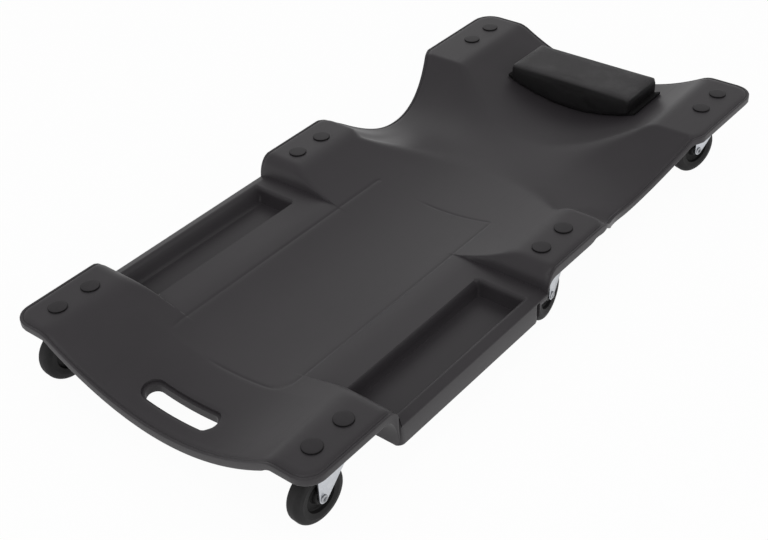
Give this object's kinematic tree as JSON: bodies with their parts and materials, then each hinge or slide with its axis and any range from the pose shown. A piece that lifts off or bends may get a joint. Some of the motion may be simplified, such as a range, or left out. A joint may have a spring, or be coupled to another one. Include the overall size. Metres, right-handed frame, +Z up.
{
  "type": "mechanic creeper",
  "caption": "Low moulded plastic mechanic creeper with a body cradle, side tool trays, arm cut-outs, a hand slot and a vinyl head pillow, rolling on swivel casters.",
  "frame": {"origin": "on the floor under the middle of the deck", "axes": "+X from the foot end to the head end, +Y to the left of someone who faces the head end, +Z up"},
  "size_m": [1.019, 0.4968, 0.1079],
  "materials": {
    "deck": "satin black moulded polyethylene",
    "pillow": "smooth black vinyl over foam",
    "pillow_base": "plain black board",
    "zinc": "bright zinc plate",
    "fastener": "dull zinc plate",
    "bolt": "black",
    "wheel": "hard black polymer"
  },
  "bodies": {
    "deck": {"deck": "deck", "pillow_base": "pillow_base", "pillow_cushion": "pillow", "pillow_screw_front": "fastener", "pillow_screw_rear": "fastener", "caster_plate_foot_left": "zinc", "kingpin_foot_left": "fastener", "caster_bolt_foot_left_a": "bolt", "caster_bolt_foot_left_b": "bolt", "caster_nut_foot_left_a": "fastener", "caster_nut_foot_left_b": "fastener", "caster_plate_foot_right": "zinc", "kingpin_foot_right": "fastener", "caster_bolt_foot_right_a": "bolt", "caster_bolt_foot_right_b": "bolt", "caster_nut_foot_right_a": "fastener", "caster_nut_foot_right_b": "fastener", "caster_plate_mid_left": "zinc", "kingpin_mid_left": "fastener", "caster_bolt_mid_left_a": "bolt", "caster_bolt_mid_left_b": "bolt", "caster_nut_mid_left_a": "fastener", "caster_nut_mid_left_b": "fastener", "caster_plate_mid_right": "zinc", "kingpin_mid_right": "fastener", "caster_bolt_mid_right_a": "bolt", "caster_bolt_mid_right_b": "bolt", "caster_nut_mid_right_a": "fastener", "caster_nut_mid_right_b": "fastener", "caster_plate_head_left": "zinc", "kingpin_head_left": "fastener", "caster_bolt_head_left_a": "bolt", "caster_bolt_head_left_b": "bolt", "caster_nut_head_left_a": "fastener", "caster_nut_head_left_b": "fastener", "caster_plate_head_right": "zinc", "kingpin_head_right": "fastener", "caster_bolt_head_right_a": "bolt", "caster_bolt_head_right_b": "bolt", "caster_nut_head_right_a": "fastener", "caster_nut_head_right_b": "fastener"},
    "swivel_foot_left": {"caster_fork_foot_left": "zinc", "wheel_axle_foot_left": "fastener"},
    "wheel_foot_left": {"wheel_foot_left": "wheel"},
    "swivel_foot_right": {"caster_fork_foot_right": "zinc", "wheel_axle_foot_right": "fastener"},
    "wheel_foot_right": {"wheel_foot_right": "wheel"},
    "swivel_mid_left": {"caster_fork_mid_left": "zinc", "wheel_axle_mid_left": "fastener"},
    "wheel_mid_left": {"wheel_mid_left": "wheel"},
    "swivel_mid_right": {"caster_fork_mid_right": "zinc", "wheel_axle_mid_right": "fastener"},
    "wheel_mid_right": {"wheel_mid_right": "wheel"},
    "swivel_head_left": {"caster_fork_head_left": "zinc", "wheel_axle_head_left": "fastener"},
    "wheel_head_left": {"wheel_head_left": "wheel"},
    "swivel_head_right": {"caster_fork_head_right": "zinc", "wheel_axle_head_right": "fastener"},
    "wheel_head_right": {"wheel_head_right": "wheel"}
  },
  "joints": [
    {"name": "swivel_foot_left", "type": "hinge", "parent": "deck", "child": "swivel_foot_left", "pos_m": [-0.43797, 0.207, 0], "axis": [0, 0, 1], "continuous": true},
    {"name": "roll_foot_left", "type": "hinge", "parent": "swivel_foot_left", "child": "wheel_foot_left", "pos_m": [-0.4654, 0.20892, 0.0375], "axis": [-0.0698, -0.9976, 0], "continuous": true},
    {"name": "swivel_foot_right", "type": "hinge", "parent": "deck", "child": "swivel_foot_right", "pos_m": [-0.43797, -0.207, 0], "axis": [0, 0, 1], "continuous": true},
    {"name": "roll_foot_right", "type": "hinge", "parent": "swivel_foot_right", "child": "wheel_foot_right", "pos_m": [-0.4654, -0.20508, 0.0375], "axis": [-0.0698, -0.9976, 0], "continuous": true},
    {"name": "swivel_mid_left", "type": "hinge", "parent": "deck", "child": "swivel_mid_left", "pos_m": [0.0053, 0.207, 0], "axis": [0, 0, 1], "continuous": true},
    {"name": "roll_mid_left", "type": "hinge", "parent": "swivel_mid_left", "child": "wheel_mid_left", "pos_m": [-0.02213, 0.20508, 0.0375], "axis": [0.0698, -0.9976, 0], "continuous": true},
    {"name": "swivel_mid_right", "type": "hinge", "parent": "deck", "child": "swivel_mid_right", "pos_m": [0.0053, -0.207, 0], "axis": [0, 0, 1], "continuous": true},
    {"name": "roll_mid_right", "type": "hinge", "parent": "swivel_mid_right", "child": "wheel_mid_right", "pos_m": [-0.02193, -0.21083, 0.0375], "axis": [0.1392, -0.9903, 0], "continuous": true},
    {"name": "swivel_head_left", "type": "hinge", "parent": "deck", "child": "swivel_head_left", "pos_m": [0.43797, 0.207, 0], "axis": [0, 0, 1], "continuous": true},
    {"name": "roll_head_left", "type": "hinge", "parent": "swivel_head_left", "child": "wheel_head_left", "pos_m": [0.41088, 0.21177, 0.0375], "axis": [-0.1736, -0.9848, 0], "continuous": true},
    {"name": "swivel_head_right", "type": "hinge", "parent": "deck", "child": "swivel_head_right", "pos_m": [0.43797, -0.207, 0], "axis": [0, 0, 1], "continuous": true},
    {"name": "roll_head_right", "type": "hinge", "parent": "swivel_head_right", "child": "wheel_head_right", "pos_m": [0.41167, -0.19896, 0.0375], "axis": [-0.2924, -0.9563, 0], "continuous": true}
  ]
}
